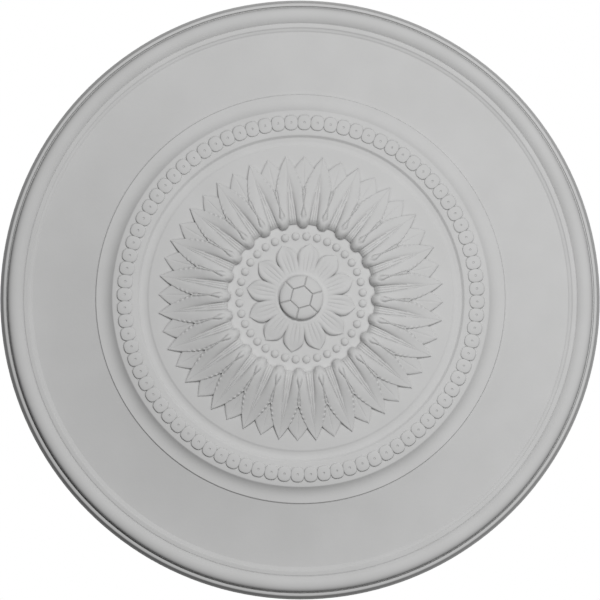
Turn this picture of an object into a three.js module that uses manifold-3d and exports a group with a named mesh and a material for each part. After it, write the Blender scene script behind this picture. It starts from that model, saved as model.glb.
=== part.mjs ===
// A round ceiling rose, one casting: a wide plain field inside a half-round rim,
// a raised ring with a bead row, a ring of pointed leaves, a ring of small beads,
// and a twelve-petalled flower round a faceted boss.
//
// Sizes are in millimetres. The rose is drawn face up, with heights measured from its
// flat back, and turned over at the end: the back then lies in the plane z = 0 and
// faces up to the ceiling, and the carved face looks down.

import * as THREE from 'three';
import * as BufferGeometryUtils from 'three/addons/utils/BufferGeometryUtils.js';
import Module from 'manifold-3d';

const wasm = await Module();
wasm.setup();

// Overall size
const roseRadius = 500;
const roundSteps = 48;

// Mouldings from the edge inward: radii, and heights above the back
const edgeHeight = 6;
const edgeFillet = { outer: 493.4, inner: 489.4, height: 12 };
const edgeGroove = { radius: 488, height: 9.6 };
const rimRound = { outer: 487, inner: 463, foot: 12, top: 22, fromDegrees: 172, toDegrees: 5, steps: 3 };
const rimFillet = { outer: 461.5, inner: 455, height: 14.2 };
const fieldOuter = { radius: 446, height: 9.2 };
const fieldInner = { radius: 342, height: 16 };
const cove = { outer: 340.4, lip: 19.2, inner: 318.5, innerHeight: 23.4 };
const band = { outer: 313.8, inner: 272.8, height: 28.4 };
const innerCove = { floor: 260.5, floorHeight: 22.7, inner: 251.8 };
const innerFieldHeight = 25;
const discHeight = 37.5;

// Row of squat beads on the band, wider along the radius than across
const beadCount = 84;
const beadTurn = 1.1;
const bead = { ring: 293.4, across: 12, along: 12.6, crownShare: 0.86, top: 32.2 };

// Large leaves with raised margins, and small ones showing between their points
const leafCount = 24;
const leafTurn = 8.9;
const leaf = { tip: 237, widest: 157, halfWidth: 25, meet: 180, inner: 124, blunt: 0.6 };
const leafHeights = { tip: 28.2, crest: 56, crestRadius: 150, rollRadius: 136, roll: 5 };
const leafStrip = { halfWidth: 6, tipHalfWidth: 0.2, widestShare: 0.6, tipDepth: 0.8, depth: 6 };
const leafRows = [leaf.inner, 142, leaf.meet, 210, leaf.tip];
const backLeaf = { tip: 236, inner: 176, halfWidth: 24, rise: 0.84, thickness: 1.8 };
const backLeafRows = [backLeaf.inner, 220, backLeaf.tip];
const backLeafTurn = leafTurn + 180 / leafCount;

// Knobs where neighbouring leaves roll over at their inner ends
const knob = { radius: 128, across: 8.6, along: 12, top: 55.5, shoulderOut: 0.76, shoulderUp: 0.74 };

// Ring of small beads on the centre disc
const smallBeadCount = 36;
const smallBeadTurn = 5;
const smallBead = { ring: 102.6, foot: 8, crown: 4, height: 5.4 };

// Flower and boss
const petalCount = 12;
const petalTurn = 10;
const petal = { tip: 91.5, widest: 68, halfWidth: 16.7, meet: 62, inner: 46, blunt: 2 };
const petalHeights = { inner: 43.4, crest: 45.8, tip: 42, hollow: 1.4 };
const petalRows = [petal.inner, petal.meet, 78, petal.tip];
const flowerRing = { radius: 47.5, height: 44 };
const bossTurn = 14;
const boss = { radius: 36.4, hexagon: 19, wallTop: 56, top: 60, footShare: 1.25, steps: 24 };

// Forms sink this far into what carries them, so that the joins are clean
const sink = 3;

// A closed mesh as a solid that can be joined and cut
function solid(geometry) {
  const bare = geometry.index ? geometry.toNonIndexed() : geometry.clone();
  bare.deleteAttribute('normal');
  bare.deleteAttribute('uv');
  const merged = BufferGeometryUtils.mergeVertices(bare, 1e-4);
  const corners = [];
  const index = merged.index.array;
  for (let i = 0; i < index.length; i += 3) {
    const [a, b, c] = [index[i], index[i + 1], index[i + 2]];
    if (a !== b && b !== c && c !== a) {
      corners.push(a, b, c);
    }
  }
  return new wasm.Manifold(new wasm.Mesh({
    numProp: 3,
    vertProperties: new Float32Array(merged.attributes.position.array),
    triVerts: new Uint32Array(corners),
  }));
}

// A geometry turned about the rose's axis, clockwise as seen on its face
function turned(geometry, degrees) {
  return geometry.clone().rotateZ(-THREE.MathUtils.degToRad(degrees));
}

// Copies of one geometry round the axis; each copy reaches away from the axis along +Y
function ringOf(geometry, count, firstDegrees) {
  const copies = [];
  for (let i = 0; i < count; i += 1) {
    copies.push(solid(turned(geometry, firstDegrees + (360 * i) / count)));
  }
  return copies;
}

// A profile of [radius, height] points revolved round the rose's axis
function revolved(profile, steps) {
  const points = profile.map(([radius, height]) => new THREE.Vector2(radius, height));
  return new THREE.LatheGeometry(points, steps).rotateX(Math.PI / 2);
}

// Points of an upright ellipse arc from angle fromDegrees to toDegrees, counted from +radius
function arc(centre, base, halfWidth, rise, { fromDegrees, toDegrees, steps }) {
  const points = [];
  for (let i = 0; i <= steps; i += 1) {
    const angle = THREE.MathUtils.degToRad(fromDegrees + ((toDegrees - fromDegrees) * i) / steps);
    points.push([centre + halfWidth * Math.cos(angle), base + rise * Math.sin(angle)]);
  }
  return points;
}

// Corner points of the triangles of a closed shape under cross rows. Each row is the same
// number of [x, y, z] points from left to right over the top, the rows run outward, and
// the underside is flat at height base. The sides stay open nearer the axis than
// openWithin, where the shape joins its neighbours edge to edge.
function rowFaces(rows, base, openWithin = 0) {
  const faces = [];
  const quad = (a, b, c, d) => faces.push(a, b, c, a, c, d);
  const below = ([x, y]) => [x, y, base];
  const wall = (a, b) => quad(a, below(a), below(b), b);
  const last = rows.length - 1;
  const edge = rows[0].length - 1;
  for (let column = 0; column < edge; column += 1) {
    for (let row = 0; row < last; row += 1) {
      const [a, b] = [rows[row][column], rows[row][column + 1]];
      const [c, d] = [rows[row + 1][column + 1], rows[row + 1][column]];
      quad(a, b, c, d);
      quad(below(d), below(c), below(b), below(a));
    }
    wall(rows[0][column], rows[0][column + 1]);
    wall(rows[last][column + 1], rows[last][column]);
  }
  for (let row = 0; row < last; row += 1) {
    if (Math.hypot(...rows[row][0].slice(0, 2)) >= openWithin) {
      wall(rows[row][edge], rows[row + 1][edge]);
      wall(rows[row + 1][0], rows[row][0]);
    }
  }
  return faces;
}

// Corner points as a geometry, on a fine grid so that shared corners fall together
function facesGeometry(faces) {
  const places = faces.flat().map((value) => Number(value.toFixed(3)));
  const geometry = new THREE.BufferGeometry();
  geometry.setAttribute('position', new THREE.Float32BufferAttribute(places, 3));
  return geometry;
}

// Equal leaves all round as one body, because their margins meet nearer the axis than
// meetRadius; crossRows gives the rows of the leaf that points along +Y
function crown(crossRows, count, firstDegrees, base, meetRadius) {
  const faces = [];
  for (let i = 0; i < count; i += 1) {
    const angle = -THREE.MathUtils.degToRad(firstDegrees + (360 * i) / count);
    const [cos, sin] = [Math.cos(angle), Math.sin(angle)];
    const turn = ([x, y, z]) => [x * cos - y * sin, x * sin + y * cos, z];
    const rows = crossRows.map((row) => row.map(turn));
    faces.push(...rowFaces(rows, base, meetRadius));
  }
  return facesGeometry(faces);
}

// Half the width of the sector that one of count equal parts has at a radius
function sectorHalf(count, radius) {
  return radius * Math.tan(Math.PI / count);
}

// Half the width, at a radius, of a leaf whose sides are two equal arcs that meet at its tip
function archHalf(radius, outline) {
  const length = outline.tip - outline.widest;
  const arcRadius = (length ** 2 + outline.halfWidth ** 2) / (2 * outline.halfWidth);
  const offset = Math.max(0, radius - outline.widest);
  const half = Math.sqrt(arcRadius ** 2 - offset ** 2) - (arcRadius - outline.halfWidth);
  return Math.max(outline.blunt, half);
}

// The body: every moulding that runs all the way round
function bodyProfile() {
  const rimMiddle = (rimRound.outer + rimRound.inner) / 2;
  const rimHalf = (rimRound.outer - rimRound.inner) / 2;
  const rimRise = rimRound.top - rimRound.foot;
  return [
    [0, discHeight],
    [leaf.inner - 1, discHeight],
    [leaf.inner + 4, innerFieldHeight],
    [innerCove.inner, innerFieldHeight],
    [innerCove.floor, innerCove.floorHeight],
    [band.inner, band.height],
    [band.outer, band.height],
    [cove.inner, cove.innerHeight],
    [cove.outer, cove.lip],
    [fieldInner.radius, fieldInner.height],
    [fieldOuter.radius, fieldOuter.height],
    [rimFillet.inner, rimFillet.height],
    [rimFillet.outer, rimFillet.height],
    ...arc(rimMiddle, rimRound.foot, rimHalf, rimRise, rimRound),
    [edgeGroove.radius, edgeGroove.height],
    [edgeFillet.inner, edgeFillet.height],
    [edgeFillet.outer, edgeFillet.height],
    [roseRadius, edgeHeight],
    [roseRadius, 0],
    [0, 0],
  ].reverse();
}

// One squat bead of the large row, with sloping sides and a flat crown
function beadShape() {
  const base = band.height - sink;
  return revolved([[0, base], [1, base], [bead.crownShare, bead.top], [0, bead.top]], 6)
    .scale(bead.across, bead.along, 1)
    .translate(0, bead.ring, 0);
}

// One small bead of the ring on the centre disc
function smallBeadShape() {
  const base = discHeight - sink;
  const top = discHeight + smallBead.height;
  return revolved([[0, base], [smallBead.foot, base], [smallBead.crown, top], [0, top]], 5)
    .translate(0, smallBead.ring, 0);
}

// Height of a leaf's margins along its length: low at the tip, a long rise, a rolled inner end
function leafHeight(radius) {
  const rise = THREE.MathUtils.smoothstep(leaf.tip - radius, 0, leaf.tip - leafHeights.crestRadius);
  const roll = Math.max(0, leafHeights.rollRadius - radius) / (leafHeights.rollRadius - leaf.inner);
  return leafHeights.tip + (leafHeights.crest - leafHeights.tip) * rise - leafHeights.roll * roll * roll;
}

// One large leaf: raised margins, and a sunk strip down its middle. At the inner end the
// margins stop short, inside the knobs that finish them.
function leafCrossRows() {
  return leafRows.map((radius) => {
    const along = (leaf.tip - radius) / (leaf.tip - leaf.inner);
    const marginRadius = Math.max(radius, knob.radius);
    const free = radius > leaf.meet;
    const half = free ? archHalf(radius, leaf) : sectorHalf(leafCount, marginRadius);
    const margin = leafHeight(marginRadius);
    const fullStrip = leafStrip.halfWidth * along + leafStrip.tipHalfWidth;
    const strip = Math.min(half * leafStrip.widestShare, fullStrip);
    const middle = leafHeight(radius) - leafStrip.tipDepth - leafStrip.depth * along;
    return [
      [-half, marginRadius, margin],
      [-strip, radius, middle],
      [strip, radius, middle],
      [half, marginRadius, margin],
    ];
  });
}

// One small leaf behind, lower than the large ones
function backLeafShape() {
  const outline = { ...leaf, tip: backLeaf.tip, halfWidth: backLeaf.halfWidth };
  const rows = backLeafRows.map((radius) => {
    const half = archHalf(radius, outline);
    const rise = backLeaf.rise * (leafHeight(radius) - leafHeights.tip);
    const height = innerFieldHeight + backLeaf.thickness + rise;
    return [[-half, radius, height], [half, radius, height]];
  });
  return facesGeometry(rowFaces(rows, innerFieldHeight - sink));
}

// One knob: half a ball, stretched along the radius
function knobShape() {
  const foot = -sink / (knob.top - discHeight);
  return revolved([[0, foot], [1, foot], [knob.shoulderOut, knob.shoulderUp], [0, 1]], 6)
    .scale(knob.across, knob.along, knob.top - discHeight)
    .translate(0, knob.radius, discHeight);
}

// One petal: a blunt point, raised edges and a hollow middle
function petalCrossRows() {
  return petalRows.map((radius) => {
    const half = radius > petal.meet ? archHalf(radius, petal) : sectorHalf(petalCount, radius);
    const out = (radius - petal.inner) / (petal.tip - petal.inner);
    const swell = Math.sin(Math.PI * out);
    const edge = THREE.MathUtils.lerp(petalHeights.inner, petalHeights.tip, out);
    const lift = (petalHeights.crest - (petalHeights.inner + petalHeights.tip) / 2) * swell;
    const middle = edge + lift - petalHeights.hollow * swell;
    return [[-half, radius, edge + lift], [0, radius, middle], [half, radius, edge + lift]];
  });
}

// The ring that the petals grow from
function flowerRingShape() {
  const base = discHeight - sink;
  const { radius, height } = flowerRing;
  return revolved([[0, base], [radius, base], [radius, height], [0, height]], petalCount);
}

// The boss: a low round block whose top is a flat hexagon with six sloping plates
function bossSolid() {
  const base = discHeight - sink;
  const foot = boss.radius * boss.footShare;
  const slope = (boss.top - boss.wallTop) / (boss.radius - boss.hexagon);
  const footTop = boss.top - slope * (foot - boss.hexagon);
  const over = boss.top + sink;
  const block = [[0, base], [boss.radius, base], [boss.radius, over], [0, over]];
  const plates = [[0, base], [foot, base], [foot, footTop], [boss.hexagon, boss.top], [0, boss.top]];
  const round = solid(turned(revolved(block, boss.steps), bossTurn));
  return round.intersect(solid(turned(revolved(plates, 6), bossTurn)));
}

function roseSolid() {
  const leafBase = innerFieldHeight - sink;
  const petalBase = discHeight - sink;
  const forms = [
    solid(revolved(bodyProfile(), roundSteps)),
    ...ringOf(beadShape(), beadCount, beadTurn),
    solid(crown(leafCrossRows(), leafCount, leafTurn, leafBase, leaf.meet)),
    ...ringOf(backLeafShape(), leafCount, backLeafTurn),
    ...ringOf(knobShape(), leafCount, backLeafTurn),
    ...ringOf(smallBeadShape(), smallBeadCount, smallBeadTurn),
    solid(crown(petalCrossRows(), petalCount, petalTurn, petalBase, petal.meet)),
    solid(flowerRingShape()),
    bossSolid(),
  ];
  return forms.reduce((joined, form) => joined.add(form));
}

function geometryOf(body) {
  const mesh = body.getMesh();
  const geometry = new THREE.BufferGeometry();
  geometry.setAttribute('position', new THREE.Float32BufferAttribute(mesh.vertProperties, 3));
  geometry.setIndex(Array.from(mesh.triVerts));
  geometry.computeVertexNormals();
  return geometry;
}

const castWhite = new THREE.MeshStandardMaterial({ color: 0xdedede, roughness: 0.75, metalness: 0 });

const rose = new THREE.Mesh(geometryOf(roseSolid()), castWhite);
rose.name = 'ceiling_rose';
rose.rotation.x = Math.PI;

const ceilingRose = new THREE.Group();
ceilingRose.add(rose);

export default ceilingRose;
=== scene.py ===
import math

import bmesh
import bpy
import numpy as np
from mathutils import Matrix, Vector


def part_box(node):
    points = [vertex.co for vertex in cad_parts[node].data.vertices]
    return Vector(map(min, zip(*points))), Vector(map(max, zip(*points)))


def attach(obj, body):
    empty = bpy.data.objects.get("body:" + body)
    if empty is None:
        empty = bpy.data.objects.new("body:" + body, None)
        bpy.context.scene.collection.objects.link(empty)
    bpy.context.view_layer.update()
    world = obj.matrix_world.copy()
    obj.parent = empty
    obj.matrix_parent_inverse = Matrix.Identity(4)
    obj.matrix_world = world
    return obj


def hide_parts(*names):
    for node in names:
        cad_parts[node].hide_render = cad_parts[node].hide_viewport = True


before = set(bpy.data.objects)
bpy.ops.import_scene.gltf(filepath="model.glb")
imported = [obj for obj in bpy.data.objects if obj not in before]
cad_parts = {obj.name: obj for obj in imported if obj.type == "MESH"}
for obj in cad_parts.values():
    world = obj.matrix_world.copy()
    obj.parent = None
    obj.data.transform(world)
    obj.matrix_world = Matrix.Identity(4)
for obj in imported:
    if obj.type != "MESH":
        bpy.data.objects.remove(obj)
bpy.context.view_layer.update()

# The rose is drawn face up in millimetres, as on a drawing board: x to the right and y up
# as seen on its face, and heights measured from its flat back. place_mesh turns it over.

NODE = "ceiling_rose"
node_low, node_high = [Vector(corner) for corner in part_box(NODE)]

ROSE_RADIUS = 500.0
METRES = (node_high.x - node_low.x) / 2 / ROSE_RADIUS
PROJECTION = (node_high.z - node_low.z) / METRES

# Mouldings that run all the way round: radii, and heights above the back
DISC_HEIGHT = 37.5
INNER_FIELD_HEIGHT = 25.0
INNER_COVE = {"inner": 252.8, "step": 259.4, "bend": 264.0, "outer": 268.3, "low": 22.8, "high": 23.6}
BAND = {"inner": 271.9, "outer": 313.4, "height": 28.4}
COVE = {"inner": 315.0, "outer": 339.4, "top": 26.8, "lip": 18.6}
FIELD_STEP = {"top": 340.3, "foot": 341.5, "height": 15.4}
FIELD_EDGE = {"radius": 446.0, "height": 9.0}
RIM_FILLET = {"inner": 454.4, "outer": 460.2, "height": 13.8}
RIM_ROUND = {"inner": 461.2, "crest": 477.0, "outer": 487.0, "foot": 12.9, "top": 21.0, "drop": 7.0}
GROOVE = {"inner": 488.0, "outer": 489.0, "height": 7.0}
EDGE_FILLET = {"inner": 490.1, "outer": 494.4, "inner_height": 11.4, "outer_height": 10.8}
EDGE_LIP = {"bend": 497.8, "bend_height": 4.6, "outer_height": 2.2}

# Row of squat beads on the band, wider along the radius than across
BEAD_COUNT = 84
BEAD_TURN = 1.1
BEAD = {"ring": 293.2, "across": 11.4, "along": 12.6, "top": 32.2, "edge": 1.7}
DIMPLE = {"radius": 2.1, "depth": 1.5}

# Large leaves and the knobs at their inner ends
LEAF_COUNT = 24
LEAF_TURN = 8.9
SECTOR = math.tan(math.pi / LEAF_COUNT)
LEAF = {"tip": 237.0, "widest": 157.0, "half_width": 25.0, "meet": 179.6, "strip_end": 122.6}
LEAF_RISE = {"tip": 28.2, "crest": 56.0, "crest_radius": 137.0, "roll_radius": 136.0, "roll": 5.0}
STRIP = {"half_width": 6.4, "point": 214.0, "full_depth": 150.0, "depth": 5.6, "reed": 1.2}
KNOB = {"centre": 125.4, "length": 9.8, "half_width": 9.2, "round": 15.0, "end_round": 9.0}
SEAM = {"meet": 2.4, "waist": 1.1, "waist_radius": 157.0, "depth": 1.8}
NAIL = {
    "apex": 154.0, "end": 129.5, "half_width": 4.2, "round_share": 0.32,
    "groove": 1.5, "swell": 2.4,
}
SERRATION = {
    "start": 158.0, "inner": 162.0, "outer": 214.0, "fade": 14.0, "pitch": 8.0,
    "height": 2.6, "sway": 1.1,
}

# Small leaves behind
BACK_LEAF = {
    "tip": 236.2, "widest": 166.0, "half_width": 29.2,
    "inner": 176.0, "thickness": 1.8, "rise": 0.86,
}

# Ring of small beads on the centre disc
SMALL_BEAD_COUNT = 36
SMALL_BEAD_TURN = 5.0
SMALL_BEAD = {"ring": 102.6, "radius": 6.7, "height": 4.7}

# Flower and boss
PETAL_COUNT = 12
PETAL_TURN = 10.0
PETAL = {"inner": 40.0, "widest": 68.0, "tip": 91.4, "half_width": 16.9, "base_half_width": 11.4}
PETAL_RISE = {"inner": 46.5, "crest": 46.0, "tip": 39.8, "dish": 1.3, "vein": 0.8, "edge_drop": 2.9}
FLOWER_RING = {"flat": 42.0, "radius": 49.0, "foot": 43.0, "height": 46.6}
BOSS_TURN = 14.0
BOSS = {
    "radius": 36.4, "hexagon": 19.0, "wall_top": 56.8, "top": PROJECTION,
    "groove": 3.1, "rim_drop": 2.4,
}

# Forms sink this far into what carries them
SINK = 3.0

# Steps round the mouldings and the collar, and the angle above which an edge stays crisp
BODY_STEPS = 168
COLLAR_STEPS = 96
CRISP_EDGE = math.radians(38)

# Radius where a leaf's inner end starts to round, and how many rows its parts have
LEAF_END_START = 137.0
LEAF_END_ROWS = 11
LEAF_INNER_ROWS = 9
ROWS_PER_LOBE = 4


def smooth(value, low, high):
    """0 below low, 1 above high, and an even curve between."""
    t = min(1.0, max(0.0, (value - low) / (high - low)))
    return t * t * (3.0 - 2.0 * t)


def lerp(a, b, t):
    return a + (b - a) * t


def hump(offset, width):
    """A soft bump of height 1 at offset 0."""
    return math.exp(-((offset / width) ** 2))


# Closed shapes as (points, faces), in drawing-board millimetres


def revolved(profile, steps):
    """A profile of (radius, height) points from axis to axis, revolved."""
    points = []
    rings = []
    for radius, height in profile:
        if radius < 1e-6:
            rings.append([len(points)])
            points.append((0.0, 0.0, height))
            continue
        rings.append(list(range(len(points), len(points) + steps)))
        for i in range(steps):
            angle = 2 * math.pi * i / steps
            points.append((radius * math.cos(angle), radius * math.sin(angle), height))
    faces = []
    for lower, upper in zip(rings, rings[1:]):
        for i in range(steps):
            j = (i + 1) % steps
            corners = [
                lower[i % len(lower)], lower[j % len(lower)],
                upper[j % len(upper)], upper[i % len(upper)],
            ]
            faces.append(tuple(dict.fromkeys(corners)))
    return points, faces


def block(rows, base, open_within=0.0):
    """A closed shape under rows of points, with a flat underside at height base.

    The rows run outward and each goes from left to right. Its sides stay open nearer the
    axis than open_within, where it is welded to its neighbours.
    """
    count, across = len(rows), len(rows[0])
    top = [point for row in rows for point in row]
    points = top + [(x, y, base) for x, y, _ in top]
    under = len(top)
    faces = []

    def at(row, column):
        return row * across + column

    def wall(a, b):
        faces.append((a, a + under, b + under, b))

    for column in range(across - 1):
        for row in range(count - 1):
            corners = (at(row, column), at(row, column + 1), at(row + 1, column + 1), at(row + 1, column))
            faces.append(corners)
            faces.append(tuple(corner + under for corner in reversed(corners)))
        wall(at(0, column), at(0, column + 1))
        wall(at(count - 1, column + 1), at(count - 1, column))
    for row in range(count - 1):
        if rows[row][0][1] >= open_within:
            wall(at(row, across - 1), at(row + 1, across - 1))
            wall(at(row + 1, 0), at(row, 0))
    return points, faces


def moved(shape, y):
    points, faces = shape
    return [(px, py + y, pz) for px, py, pz in points], faces


def turned(shape, degrees):
    """Turned about the axis, clockwise as seen on the face."""
    points, faces = shape
    cos, sin = math.cos(math.radians(degrees)), math.sin(math.radians(degrees))
    return [(x * cos + y * sin, y * cos - x * sin, z) for x, y, z in points], faces


def together(shapes):
    points, faces = [], []
    for shape_points, shape_faces in shapes:
        start = len(points)
        points.extend(shape_points)
        faces.extend(tuple(corner + start for corner in face) for face in shape_faces)
    return points, faces


def ring_of(shape, count, first):
    """Copies of one shape, drawn along +y, all the way round."""
    return together(turned(shape, first + 360.0 * i / count) for i in range(count))


def softened(profile, steps=2):
    """A profile whose corners, given as (radius, height, softness), are rounded by that much."""
    result = []
    for i, (radius, height, softness) in enumerate(profile):
        corner = np.array((radius, height))
        if softness <= 0 or i in (0, len(profile) - 1):
            result.append((radius, height))
            continue
        before = np.array(profile[i - 1][:2]) - corner
        after = np.array(profile[i + 1][:2]) - corner
        reach = min(softness, 0.45 * np.linalg.norm(before), 0.45 * np.linalg.norm(after))
        start = corner + before / np.linalg.norm(before) * reach
        end = corner + after / np.linalg.norm(after) * reach
        for j in range(steps + 1):
            t = j / steps
            point = start * (1 - t) ** 2 + corner * 2 * t * (1 - t) + end * t ** 2
            result.append((float(point[0]), float(point[1])))
    return result


# The mouldings


def inner_cove_profile():
    """The shallow hollow between the inner field and the bead band."""
    low, high = INNER_COVE["low"], INNER_COVE["high"]
    wall = lerp(INNER_COVE["inner"], INNER_COVE["step"], 0.45)
    flat = lerp(INNER_COVE["step"], INNER_COVE["bend"], 0.6)
    return [
        (INNER_COVE["inner"], INNER_FIELD_HEIGHT, 0.9),
        (wall, low + 0.55, 0.8),
        (INNER_COVE["step"], low, 0.8),
        (flat, low - 0.1, 0.8),
        (INNER_COVE["bend"], low + 0.25, 0.8),
        (INNER_COVE["outer"], high, 0.8),
        (BAND["inner"] - 0.9, BAND["height"] - 1.6, 0.8),
        (BAND["inner"] + 0.6, BAND["height"], 0.8),
    ]


def cove_profile():
    """The hollow that falls from the bead band to the plain field."""
    points = []
    for i in range(11):
        t = (i / 10) ** 1.4
        radius = lerp(COVE["inner"], COVE["outer"], t)
        height = lerp(COVE["lip"], COVE["top"], (1 - t) ** 3)
        points.append((radius, height, 0))
    return points


def rim_round_profile():
    """The round rim: a slow rise from the inside and a steep fall to the outside."""
    points = []
    for i in range(10):
        t = i / 10
        radius = lerp(RIM_ROUND["inner"], RIM_ROUND["crest"], t)
        height = lerp(RIM_ROUND["top"], RIM_ROUND["foot"], (1 - t) ** 2.3)
        points.append((radius, height, 0))
    for i in range(13):
        angle = math.pi / 2 * i / 12
        radius = RIM_ROUND["crest"] + (RIM_ROUND["outer"] - RIM_ROUND["crest"]) * math.sin(angle)
        points.append((radius, RIM_ROUND["top"] - RIM_ROUND["drop"] * (1 - math.cos(angle)), 0))
    return points


def ogee_profile():
    """The small double curve between the plain field and the rim's fillet."""
    width = RIM_FILLET["inner"] - FIELD_EDGE["radius"]
    rise = RIM_FILLET["height"] - FIELD_EDGE["height"]
    places = (
        (0.0, 0.0), (0.1, 0.05), (0.3, 0.32), (0.45, 0.42),
        (0.6, 0.5), (0.75, 0.62), (0.93, 0.97), (1.0, 1.0),
    )
    return [(FIELD_EDGE["radius"] + width * x, FIELD_EDGE["height"] + rise * h, 0.3) for x, h in places]


def body_shape():
    profile = [
        (0, DISC_HEIGHT, 0),
        (LEAF["strip_end"] + 1.5, DISC_HEIGHT, 0),
        (LEAF["strip_end"] + 6, INNER_FIELD_HEIGHT, 0),
        *inner_cove_profile(),
        (BAND["outer"], BAND["height"], 0.9),
        *cove_profile(),
        (FIELD_STEP["top"], COVE["lip"], 0.5),
        (FIELD_STEP["foot"], FIELD_STEP["height"], 0.4),
        *ogee_profile(),
        (RIM_FILLET["outer"], RIM_FILLET["height"], 0.6),
        *rim_round_profile(),
        (GROOVE["inner"], GROOVE["height"], 0.3),
        (GROOVE["outer"], GROOVE["height"], 0.3),
        (EDGE_FILLET["inner"], EDGE_FILLET["inner_height"], 0.7),
        (EDGE_FILLET["outer"], EDGE_FILLET["outer_height"], 0.7),
        (EDGE_LIP["bend"], EDGE_LIP["bend_height"], 1.2),
        (ROSE_RADIUS, EDGE_LIP["outer_height"], 0.8),
        (ROSE_RADIUS, 0, 0),
        (0, 0, 0),
    ]
    return revolved(softened(profile)[::-1], BODY_STEPS)


def bead_shape():
    """A squat cushion with a pinhole in its crown; its neighbours overlap it a little."""
    base, top, edge = BAND["height"], BEAD["top"], BEAD["edge"]
    rings = [(1.0, base - SINK), (1.0, base + 0.5)]
    for i in range(1, 5):
        angle = math.pi / 2 * i / 4
        inset = edge / BEAD["along"] * (1 - math.cos(angle))
        rings.append((1.0 - inset, base + 0.5 + (top - 0.5 - base - 0.5) * math.sin(angle)))
    pinhole = DIMPLE["radius"] / BEAD["along"]
    rings += [(0.45, top), (pinhole, top), (0.5 * pinhole, top - DIMPLE["depth"])]
    steps = 20
    points = [(0.0, BEAD["ring"], base - SINK)]
    for size, z in rings:
        for i in range(steps):
            angle = 2 * math.pi * i / steps
            squareness = lerp(2.0, 2.7, smooth(size, 0.3, 0.8))
            cos, sin = math.cos(angle), math.sin(angle)
            reach = size / (abs(cos) ** squareness + abs(sin) ** squareness) ** (1 / squareness)
            points.append((BEAD["across"] * reach * cos, BEAD["ring"] + BEAD["along"] * reach * sin, z))
    points.append((0.0, BEAD["ring"], top - DIMPLE["depth"]))
    faces = []
    last = len(points) - 1
    for i in range(steps):
        j = (i + 1) % steps
        faces.append((0, 1 + j, 1 + i))
        for ring in range(len(rings) - 1):
            start, above = 1 + ring * steps, 1 + (ring + 1) * steps
            faces.append((start + i, start + j, above + j, above + i))
        top_ring = 1 + (len(rings) - 1) * steps
        faces.append((top_ring + i, top_ring + j, last))
    return points, faces


def small_bead_shape():
    base, radius, height = DISC_HEIGHT, SMALL_BEAD["radius"], SMALL_BEAD["height"]
    profile = [(0, base - SINK), (radius, base - SINK), (radius, base + 0.2)]
    for i in range(1, 7):
        angle = math.pi / 2 * i / 6
        profile.append((radius * math.cos(angle), base + 0.2 + (height - 0.2) * math.sin(angle)))
    profile[-1] = (0, base + height)
    return moved(revolved(profile, 18), SMALL_BEAD["ring"])


# Leaves


def arch_half(y, outline, least=0.5):
    """Half the width at y of a leaf whose sides are two equal arcs that meet at its tip."""
    length = outline["tip"] - outline["widest"]
    arc = (length ** 2 + outline["half_width"] ** 2) / (2 * outline["half_width"])
    offset = max(0.0, y - outline["widest"])
    return max(least, math.sqrt(arc ** 2 - offset ** 2) - (arc - outline["half_width"]))


def leaf_height(y):
    """Height of a leaf's margins along its length."""
    rise = smooth(LEAF["tip"] - y, 0.0, LEAF["tip"] - LEAF_RISE["crest_radius"])
    return lerp(LEAF_RISE["tip"], LEAF_RISE["crest"], rise)


def strip_depth(y):
    """How far the strip down a leaf's middle lies below the margins."""
    return STRIP["depth"] * smooth(STRIP["point"] - y, 0.0, STRIP["point"] - STRIP["full_depth"])


def roll_drop(y):
    """How far the strip bends down towards its inner end."""
    roll = max(0.0, LEAF_RISE["roll_radius"] - y) / (LEAF_RISE["roll_radius"] - LEAF["strip_end"])
    return LEAF_RISE["roll"] * roll ** 2


def strip_half(y):
    reach = (STRIP["point"] - y) / (STRIP["point"] - LEAF["strip_end"])
    return max(0.5, STRIP["half_width"] * max(0.0, reach) ** 0.6)


def nail_shape(offset, y):
    """Place in the drop-shaped nail on a knob: 0 on its middle line, 1 on its outline."""
    round_part = NAIL["round_share"] * (NAIL["apex"] - NAIL["end"])
    middle = NAIL["end"] + round_part
    if y < middle:
        return math.hypot(offset / NAIL["half_width"], (middle - y) / round_part)
    half = NAIL["half_width"] * (NAIL["apex"] - y) / (NAIL["apex"] - middle)
    return offset / max(0.4, half)


def groove_offset(y):
    """How far the fine groove beside the seam between two leaves lies from the seam."""
    if y > SEAM["waist_radius"]:
        return lerp(SEAM["waist"], SEAM["meet"], smooth(y, SEAM["waist_radius"], LEAF["meet"]))
    widening = (SEAM["waist_radius"] - y) / (SEAM["waist_radius"] - NAIL["end"] - 8.0)
    return lerp(SEAM["waist"], NAIL["half_width"], min(1.0, widening))


def leaf_columns(y):
    """Offsets across half a leaf, from its middle line to its margin."""
    half = y * SECTOR if y <= LEAF["meet"] else arch_half(y, LEAF)
    strip = min(strip_half(y), 0.4 * half)
    offsets = [strip * t for t in (0, 0.17, 0.333, 0.5, 0.7, 0.88, 1.0)]
    groove = min(groove_offset(y), 0.24 * half)
    inside = half - 1.7 * groove
    offsets += [lerp(strip, inside, t) for t in (0.12, 0.34, 0.66, 1.0)]
    offsets += [half - groove * t for t in (1.3, 1.0, 0.7, 0.35, 0.0)]
    return offsets, half, strip


def strip_reeds(x, y, strip):
    """Fine reeds along the strip: two in its outer part and three towards its inner end."""
    two = abs(math.sin(math.pi * x / strip)) ** 0.7
    three = abs(math.cos(1.5 * math.pi * x / strip)) ** 0.7
    size = STRIP["reed"] * min(1.0, strip / 4.0)
    return size * lerp(three, two, smooth(y, 152.0, 166.0)) - size


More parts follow.
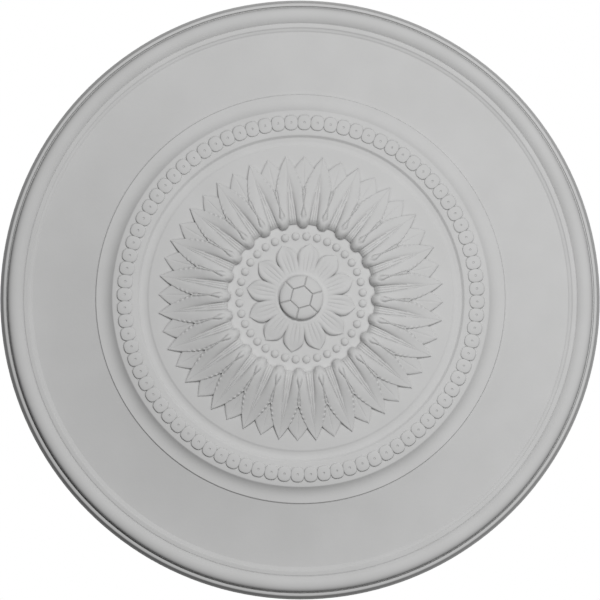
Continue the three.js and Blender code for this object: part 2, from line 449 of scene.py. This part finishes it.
def seam_relief(from_margin, y):
    """The grooves and the nail beside the seam between two leaves."""
    nail_middle = NAIL["end"] + NAIL["round_share"] * (NAIL["apex"] - NAIL["end"])
    place = nail_shape(from_margin, y)
    if y < NAIL["apex"]:
        width = NAIL["half_width"]
        if y >= nail_middle:
            width *= max(0.15, (NAIL["apex"] - y) / (NAIL["apex"] - nail_middle))
        relief = -NAIL["groove"] * hump((place - 1.0) * width, 0.75)
        return relief + NAIL["swell"] * min(1.0, width / 3.0) * max(0.0, 1.0 - place ** 2)
    relief = -SEAM["depth"] * hump(from_margin - groove_offset(y), 0.7)
    return relief * smooth(y, NAIL["apex"], NAIL["apex"] + 4.0)


def lobe(y):
    """1 at the middle of a lobe and 0 between two lobes."""
    return 0.5 + 0.5 * math.cos(2 * math.pi * (y - SERRATION["start"]) / SERRATION["pitch"])


def lobes_left(y):
    """1 where the lobes are full, and 0 where they have died away towards the tip."""
    return 1 - smooth(y, SERRATION["outer"] - SERRATION["fade"], SERRATION["outer"])


def serration(from_margin, y):
    """Small lobes along the inside of a margin."""
    reach = smooth(y, SERRATION["inner"], SERRATION["inner"] + 8) * lobes_left(y)
    return SERRATION["height"] * reach * (lobe(y) - 0.5) * hump(from_margin - 1.6, 1.2)


def leaf_surface(x, y, half, strip):
    """Height of a large leaf at offset x from its middle line."""
    margin = leaf_height(y)
    middle = margin - strip_depth(y)
    if x <= strip:
        return middle - roll_drop(y) + strip_reeds(x, y, strip)
    t = (x - strip) / (half - strip)
    swell = 1 - (1 - t) ** 3
    rounded = math.sqrt(max(0.0, 1 - (1 - min(1.0, t / 0.8)) ** 2))
    blade = lerp(rounded, swell, smooth(y, 140, 175))
    height = lerp(middle - roll_drop(y), margin, blade)
    from_margin = half - x
    height += serration(from_margin, y)
    if y > LEAF["meet"]:
        return height - 1.0 * hump(from_margin, 0.6)
    return height + seam_relief(from_margin, y)


def knob_end(from_seam):
    """Radius where the leaf ring ends: round at the knobs, straight at the strips between."""
    if from_seam >= KNOB["half_width"]:
        return LEAF["strip_end"]
    across = math.sqrt(1 - (from_seam / KNOB["half_width"]) ** 2)
    return min(LEAF["strip_end"], KNOB["centre"] - KNOB["length"] * across)


def leaf_row(y):
    offsets, half, strip = leaf_columns(y)
    sway = SERRATION["sway"] * (lobe(y) - 0.5)
    sway *= smooth(y, LEAF["meet"] + 1, LEAF["meet"] + 5) * lobes_left(y)
    row = []
    for x in offsets:
        near_margin = max(0.0, 1 - (half - x) / 3.0)
        row.append((x + sway * near_margin, y, leaf_surface(x, y, half, strip)))
    return row


def leaf_end_row(nearness, start):
    """A row of the rounded inner end; nearness is 0 at radius start and 1 at the end itself."""
    row = []
    for column in range(len(leaf_columns(start)[0])):
        y = start
        for _ in range(3):
            offsets, half, _ = leaf_columns(y)
            end = knob_end(half - offsets[column])
            y = lerp(start, end, 1 - (1 - nearness) ** 1.7)
        offsets, half, strip = leaf_columns(y)
        x = offsets[column]
        end = knob_end(half - x)
        round_length = lerp(KNOB["round"], KNOB["end_round"], smooth(half - x, 7.5, 10.0))
        reach = min(1.0, max(0.0, (y - end) / round_length))
        drop = math.sqrt(1 - (1 - reach) ** 2)
        row.append((x, y, lerp(DISC_HEIGHT + 0.6, leaf_surface(x, y, half, strip), drop)))
    return row


def leaf_rows():
    start = LEAF_END_START
    rows = [leaf_end_row(1 - step / LEAF_END_ROWS, start) for step in range(LEAF_END_ROWS)]
    serrated = round(ROWS_PER_LOBE * (SERRATION["outer"] - SERRATION["start"]) / SERRATION["pitch"])
    radii = [lerp(start, SERRATION["start"], i / LEAF_INNER_ROWS) for i in range(LEAF_INNER_ROWS)]
    radii += [lerp(SERRATION["start"], SERRATION["outer"], i / serrated) for i in range(serrated)]
    radii += [lerp(SERRATION["outer"], LEAF["tip"], 1 - (1 - i / 6) ** 1.3) for i in range(7)]
    nearest = min(range(len(radii)), key=lambda i: abs(radii[i] - LEAF["meet"]))
    radii[nearest] = LEAF["meet"]
    rows += [leaf_row(y) for y in radii]
    return [[(-x, y, z) for x, y, z in reversed(row[1:])] + row for row in rows]


def leaf_crown_shape():
    leaf = block(leaf_rows(), INNER_FIELD_HEIGHT - SINK, LEAF["meet"])
    return ring_of(leaf, LEAF_COUNT, LEAF_TURN)


def back_leaf_shape():
    rows = []
    for i in range(11):
        y = lerp(BACK_LEAF["inner"], BACK_LEAF["tip"], 1 - (1 - i / 10) ** 1.3)
        half = min(arch_half(y, BACK_LEAF), y * SECTOR - 0.2)
        lift = BACK_LEAF["rise"] * (leaf_height(y) - LEAF_RISE["tip"])
        level = INNER_FIELD_HEIGHT + BACK_LEAF["thickness"] + lift
        row = []
        for t in (0, 0.03, 0.07, 0.2, 0.45, 0.7, 0.9, 0.97, 1.0):
            x = t * half
            ridge = 0.9 * (1 - t) - 0.6 * hump(x, 0.7) * smooth(BACK_LEAF["tip"] - y, 4, 14)
            row.append((x, y, level + ridge - 0.7 * hump(half - x, 0.5)))
        rows.append([(-x, y, z) for x, y, z in reversed(row[1:])] + row)
    return block(rows, INNER_FIELD_HEIGHT - SINK)


# Flower


def petal_half(y):
    if y > PETAL["widest"]:
        t = (y - PETAL["widest"]) / (PETAL["tip"] - PETAL["widest"])
        return max(0.6, PETAL["half_width"] * (1 - min(1.0, t) ** 2.6))
    t = (PETAL["widest"] - y) / (PETAL["widest"] - PETAL["inner"])
    width = lerp(PETAL["half_width"], PETAL["base_half_width"], t ** 1.3)
    return min(width, y * math.tan(math.pi / PETAL_COUNT) - 0.05)


def petal_surface(t, half, along):
    """Height at t, from 0 on the middle line to 1 at the edge, and along, from base to tip."""
    ends = lerp(PETAL_RISE["inner"], PETAL_RISE["tip"], along)
    swell = PETAL_RISE["crest"] - (PETAL_RISE["inner"] + PETAL_RISE["tip"]) / 2
    level = ends + swell * math.sin(math.pi * along ** 1.3)
    dish = PETAL_RISE["dish"] * smooth(along, 0.05, 0.5) * (1 - smooth(along, 0.8, 1.0))
    level -= dish * (1 - min(1.0, t / 0.8) ** 2.4)
    level -= PETAL_RISE["edge_drop"] * smooth(along, 0.1, 0.4) * max(0.0, (t - 0.68) / 0.32) ** 2
    reach = smooth(along, 0.02, 0.15) * (1 - smooth(along, 0.5, 0.85))
    level -= PETAL_RISE["vein"] * reach * (hump(t, 0.05) + 0.8 * hump(t - 0.42, 0.06))
    return level - 0.8 * smooth(along, 0.9, 1.0)


def petal_shape():
    columns = (
        0, 0.035, 0.07, 0.14, 0.24, 0.34, 0.38, 0.42,
        0.46, 0.52, 0.64, 0.76, 0.86, 0.93, 0.97, 1.0,
    )
    rows = []
    for i in range(19):
        along = 1 - (1 - i / 18) ** 1.25
        y = lerp(PETAL["inner"], PETAL["tip"], along)
        half = petal_half(y)
        row = [(t * half, y, petal_surface(t, half, along)) for t in columns]
        rows.append([(-x, y, z) for x, y, z in reversed(row[1:])] + row)
    return block(rows, DISC_HEIGHT - SINK)


def flower_ring_shape():
    radius, foot, height = FLOWER_RING["radius"], FLOWER_RING["foot"], FLOWER_RING["height"]
    base = DISC_HEIGHT - SINK
    profile = [(0, base), (radius, base)]
    for i in range(7):
        t = i / 6
        rise = math.sin(math.pi / 2 * t)
        profile.append((lerp(radius, FLOWER_RING["flat"], t), lerp(foot, height, rise)))
    profile.append((0, height))
    return revolved(profile, COLLAR_STEPS)


def boss_shape():
    """A round block whose top is a flat hexagon with six swelling plates, parted by grooves."""
    columns = (0, 0.022, 0.045, 0.08, 0.16, 0.33, 0.5, 0.67, 0.84, 0.92, 0.955, 0.978)
    base = DISC_HEIGHT - SINK
    apothem = BOSS["hexagon"] * math.cos(math.pi / 6)
    spokes = []
    for side in range(6):
        for t in columns:
            angle = math.pi / 3 * (t - 0.5)
            edge = apothem / math.cos(angle)
            beside = min(t, 1 - t) * math.pi / 3
            spoke = []
            for s in (0.5, 0.88, 0.94, 0.97, 1.0):
                groove = BOSS["groove"] * hump((1 - s) * edge, 0.75)
                spoke.append((edge * s, BOSS["top"] - groove))
            for s in (0.045, 0.09, 0.16, 0.35, 0.6, 0.82, 0.92, 0.97, 1.0):
                radius = lerp(edge, BOSS["radius"], s)
                z = lerp(BOSS["top"], BOSS["wall_top"], s ** 1.3)
                z -= BOSS["rim_drop"] * max(0.0, (s - 0.8) / 0.2) ** 2
                z -= BOSS["groove"] * max(hump(beside * radius, 0.75 + 0.5 * s), hump(radius - edge, 0.75))
                spoke.append((radius, z))
            spoke.append((BOSS["radius"], base))
            spokes.append((angle + math.pi / 3 * side, spoke))
    points = [(0.0, 0.0, BOSS["top"]), (0.0, 0.0, base)]
    for angle, spoke in spokes:
        for radius, z in spoke:
            points.append((radius * math.sin(angle), radius * math.cos(angle), z))
    count = len(spokes[0][1])
    faces = []
    for i in range(len(spokes)):
        here, there = 2 + i * count, 2 + ((i + 1) % len(spokes)) * count
        faces.append((0, there, here))
        for j in range(count - 1):
            faces.append((here + j, there + j, there + j + 1, here + j + 1))
        faces.append((1, here + count - 1, there + count - 1))
    return points, faces


# Meshes


def place_mesh(shape, name):
    """The shape as an object, turned over so that its back faces up at the mount."""
    points, faces = shape
    flat = [(x * METRES, -y * METRES, node_high.z - z * METRES) for x, y, z in points]
    mesh = bpy.data.meshes.new(name)
    mesh.from_pydata(flat, [], faces)
    work = bmesh.new()
    work.from_mesh(mesh)
    bmesh.ops.remove_doubles(work, verts=work.verts, dist=2e-6)
    bmesh.ops.dissolve_degenerate(work, edges=work.edges, dist=1e-7)
    bmesh.ops.recalc_face_normals(work, faces=work.faces)
    work.to_mesh(mesh)
    work.free()
    piece = bpy.data.objects.new(name, mesh)
    bpy.context.scene.collection.objects.link(piece)
    return piece


def merge_into(body, shape, name):
    """Joins a shape to the body as one skin."""
    tool = place_mesh(shape, name)
    join = body.modifiers.new(name, "BOOLEAN")
    join.operation = "UNION"
    join.solver = "MANIFOLD"
    join.object = tool
    bpy.context.view_layer.update()
    evaluated = body.evaluated_get(bpy.context.evaluated_depsgraph_get())
    mesh = bpy.data.meshes.new_from_object(evaluated)
    body.modifiers.remove(join)
    old = body.data
    body.data = mesh
    bpy.data.meshes.remove(old)
    bpy.data.objects.remove(tool)


def make_rose():
    rose = place_mesh(body_shape(), "rose")
    # Neighbouring beads overlap, so every other one goes in first
    for first in (0, 1):
        ring = ring_of(bead_shape(), BEAD_COUNT // 2, BEAD_TURN + first * 360.0 / BEAD_COUNT)
        merge_into(rose, ring, "beads")
    merge_into(rose, ring_of(small_bead_shape(), SMALL_BEAD_COUNT, SMALL_BEAD_TURN), "small_beads")
    merge_into(rose, ring_of(back_leaf_shape(), LEAF_COUNT, LEAF_TURN + 180.0 / LEAF_COUNT), "back_leaves")
    merge_into(rose, leaf_crown_shape(), "leaves")
    merge_into(rose, flower_ring_shape(), "flower_ring")
    merge_into(rose, ring_of(petal_shape(), PETAL_COUNT, PETAL_TURN), "petals")
    merge_into(rose, turned(boss_shape(), BOSS_TURN + 30.0), "boss")
    for polygon in rose.data.polygons:
        polygon.use_smooth = True
    rose.data.set_sharp_from_angle(angle=CRISP_EDGE)
    return rose


# Finish


PRIMER_DARKEST = (0.722, 0.722, 0.719, 1)
PRIMER_LIGHTEST = (0.753, 0.753, 0.751, 1)
# Painted shade in the creases: how dark at most, and how near the walls stand, in metres
CREASE_PAINTED_SHADE = 0.16
CREASE_REACH = 0.0045


# Used to darken the primer with painted shade in the creases
def darkened(nodes, links, colour, share):
    """The colour, darkened by the share that another socket gives."""
    mix = nodes.new("ShaderNodeMix")
    mix.data_type = "RGBA"
    start, end = [socket for socket in mix.inputs if socket.type == "RGBA"]
    end.default_value = (0, 0, 0, 1)
    links.new(share, mix.inputs["Factor"])
    links.new(colour, start)
    return next(socket for socket in mix.outputs if socket.type == "RGBA")


def primer_material():
    material = bpy.data.materials.new("matt_primer")
    material.use_nodes = True
    nodes, links = material.node_tree.nodes, material.node_tree.links
    shader = nodes["Principled BSDF"]
    shader.inputs["Specular IOR Level"].default_value = 0.3
    place = nodes.new("ShaderNodeTexCoord")

    mottle = nodes.new("ShaderNodeTexNoise")
    mottle.inputs["Scale"].default_value = 14.0
    mottle.inputs["Detail"].default_value = 5.0
    mist = nodes.new("ShaderNodeTexNoise")
    mist.inputs["Scale"].default_value = 900.0
    mist.inputs["Detail"].default_value = 3.0
    orange_peel = nodes.new("ShaderNodeTexNoise")
    orange_peel.inputs["Scale"].default_value = 260.0
    orange_peel.inputs["Detail"].default_value = 2.0
    for texture in (mottle, mist, orange_peel):
        links.new(place.outputs["Object"], texture.inputs["Vector"])

    tone = nodes.new("ShaderNodeValToRGB")
    tone.color_ramp.elements[0].position = 0.3
    tone.color_ramp.elements[0].color = PRIMER_DARKEST
    tone.color_ramp.elements[1].position = 0.7
    tone.color_ramp.elements[1].color = PRIMER_LIGHTEST
    links.new(mottle.outputs["Fac"], tone.inputs["Fac"])

    # Painted shade: the creases are darkened by how closely nearby walls hem them in
    crease = nodes.new("ShaderNodeAmbientOcclusion")
    crease.samples = 8
    crease.only_local = True
    crease.inputs["Distance"].default_value = CREASE_REACH
    painted_shade_share = nodes.new("ShaderNodeMapRange")
    painted_shade_share.inputs["From Min"].default_value = 0.5
    painted_shade_share.inputs["To Min"].default_value = CREASE_PAINTED_SHADE
    painted_shade_share.inputs["To Max"].default_value = 0.0
    links.new(crease.outputs["AO"], painted_shade_share.inputs["Value"])
    painted_crease_tone = darkened(nodes, links, tone.outputs["Color"], painted_shade_share.outputs["Result"])
    links.new(painted_crease_tone, shader.inputs["Base Color"])

    sheen = nodes.new("ShaderNodeMapRange")
    sheen.inputs["To Min"].default_value = 0.62
    sheen.inputs["To Max"].default_value = 0.8
    links.new(orange_peel.outputs["Fac"], sheen.inputs["Value"])
    links.new(sheen.outputs["Result"], shader.inputs["Roughness"])

    fine = nodes.new("ShaderNodeBump")
    fine.inputs["Strength"].default_value = 0.12
    fine.inputs["Distance"].default_value = 0.0003
    links.new(mist.outputs["Fac"], fine.inputs["Height"])
    broad = nodes.new("ShaderNodeBump")
    broad.inputs["Strength"].default_value = 0.1
    broad.inputs["Distance"].default_value = 0.0008
    links.new(orange_peel.outputs["Fac"], broad.inputs["Height"])
    links.new(fine.outputs["Normal"], broad.inputs["Normal"])
    links.new(broad.outputs["Normal"], shader.inputs["Normal"])
    return material


rose = make_rose()
rose.data.materials.clear()
rose.data.materials.append(primer_material())
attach(rose, "root")
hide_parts(NODE)


# Camera: below the rose and looking up, with -Y up in the picture

LENS = 320.0
SENSOR = 36.0
OUTLINE_SHARE = 299.95 / 300.0
LEAN = math.radians(3.54)
LEAN_TO = Vector((-0.454, 0.891, 0.0))
outline_radius = ROSE_RADIUS * METRES
camera_distance = outline_radius / (OUTLINE_SHARE * SENSOR / 2 / LENS)
# The nearer half of the outline looks larger, which moves the middle of its picture
aim = LEAN_TO * (outline_radius ** 2 * math.sin(LEAN) / camera_distance)
aim.z = node_high.z - EDGE_LIP["outer_height"] * METRES
back = LEAN_TO * math.sin(LEAN) - Vector((0.0, 0.0, math.cos(LEAN)))
right = Vector((0.0, -1.0, 0.0)).cross(back).normalized()
up = back.cross(right)
camera_data = bpy.data.cameras.new("camera")
camera_data.lens = LENS
camera_data.sensor_width = SENSOR
camera_data.clip_end = 50.0
camera = bpy.data.objects.new("camera", camera_data)
camera_turn = Matrix((right, up, back)).transposed().to_4x4()
camera.matrix_world = Matrix.Translation(aim + back * camera_distance) @ camera_turn
bpy.context.scene.collection.objects.link(camera)
bpy.context.scene.camera = camera


# Room and light


# In metres; the floor lies below the camera
FLOOR_REACH = 12.0
FLOOR_GAP = 0.6


def add_floor():
    floor_mesh = bpy.data.meshes.new("floor")
    depth = -(camera_distance + FLOOR_GAP)
    signs = ((-1, -1), (1, -1), (1, 1), (-1, 1))
    corners = [(x * FLOOR_REACH, y * FLOOR_REACH, depth) for x, y in signs]
    floor_mesh.from_pydata(corners, [], [(0, 1, 2, 3)])
    floor = bpy.data.objects.new("floor", floor_mesh)
    bpy.context.scene.collection.objects.link(floor)
    pale = bpy.data.materials.new("pale_floor")
    pale.use_nodes = True
    pale.node_tree.nodes["Principled BSDF"].inputs["Base Color"].default_value = (0.86, 0.86, 0.86, 1)
    pale.node_tree.nodes["Principled BSDF"].inputs["Roughness"].default_value = 0.9
    floor_mesh.materials.append(pale)


def add_area(name, place, target, size, power):
    data = bpy.data.lights.new(name, "AREA")
    data.shape = "DISK"
    data.size = size
    data.energy = power
    lamp = bpy.data.objects.new(name, data)
    lamp.location = place
    lamp.rotation_euler = (Vector(target) - Vector(place)).to_track_quat("-Z", "Y").to_euler()
    lamp.visible_camera = False
    bpy.context.scene.collection.objects.link(lamp)


def add_world(ambient, seen):
    world = bpy.data.worlds.new("studio")
    bpy.context.scene.world = world
    world.use_nodes = True
    nodes, links = world.node_tree.nodes, world.node_tree.links
    light = nodes["Background"]
    light.inputs["Color"].default_value = (1, 1, 1, 1)
    light.inputs["Strength"].default_value = ambient
    backdrop = nodes.new("ShaderNodeBackground")
    backdrop.inputs["Color"].default_value = (1, 1, 1, 1)
    backdrop.inputs["Strength"].default_value = seen
    path = nodes.new("ShaderNodeLightPath")
    mix = nodes.new("ShaderNodeMixShader")
    links.new(path.outputs["Is Camera Ray"], mix.inputs["Fac"])
    links.new(light.outputs["Background"], mix.inputs[1])
    links.new(backdrop.outputs["Background"], mix.inputs[2])
    links.new(mix.outputs["Shader"], nodes["World Output"].inputs["Surface"])


# Lamps: sizes and distances in metres, power in watts
KEY_TURN = math.radians(14.0)
KEY_RISE = math.radians(67.0)
KEY_DISTANCE = 3.6
KEY_SIZE = 0.8
KEY_POWER = 60.0
FILL_TURN = math.radians(118.0)
FILL_RISE = math.radians(68.0)
FILL_DISTANCE = 1.6
FILL_SIZE = 0.7
FILL_POWER = 5.2
TOP_FILL_PLACE = (1.5, -1.0, 3.2)
TOP_FILL_SIZE = 2.0
TOP_FILL_POWER = 40.0
AMBIENT = 0.07
BACKDROP = 1.0
MIDDLE = (0, 0, 0)


def below(distance, turn, rise):
    """A place under the rose, turned clockwise from up in the picture."""
    side = distance * math.cos(rise)
    return (side * math.sin(turn), -side * math.cos(turn), -distance * math.sin(rise))


add_floor()
add_area("key", below(KEY_DISTANCE, KEY_TURN, KEY_RISE), MIDDLE, KEY_SIZE, KEY_POWER)
add_area("fill", below(FILL_DISTANCE, FILL_TURN, FILL_RISE), MIDDLE, FILL_SIZE, FILL_POWER)
add_area("top_fill", TOP_FILL_PLACE, MIDDLE, TOP_FILL_SIZE, TOP_FILL_POWER)
add_world(AMBIENT, BACKDROP)
bpy.context.scene.view_settings.view_transform = "Standard"
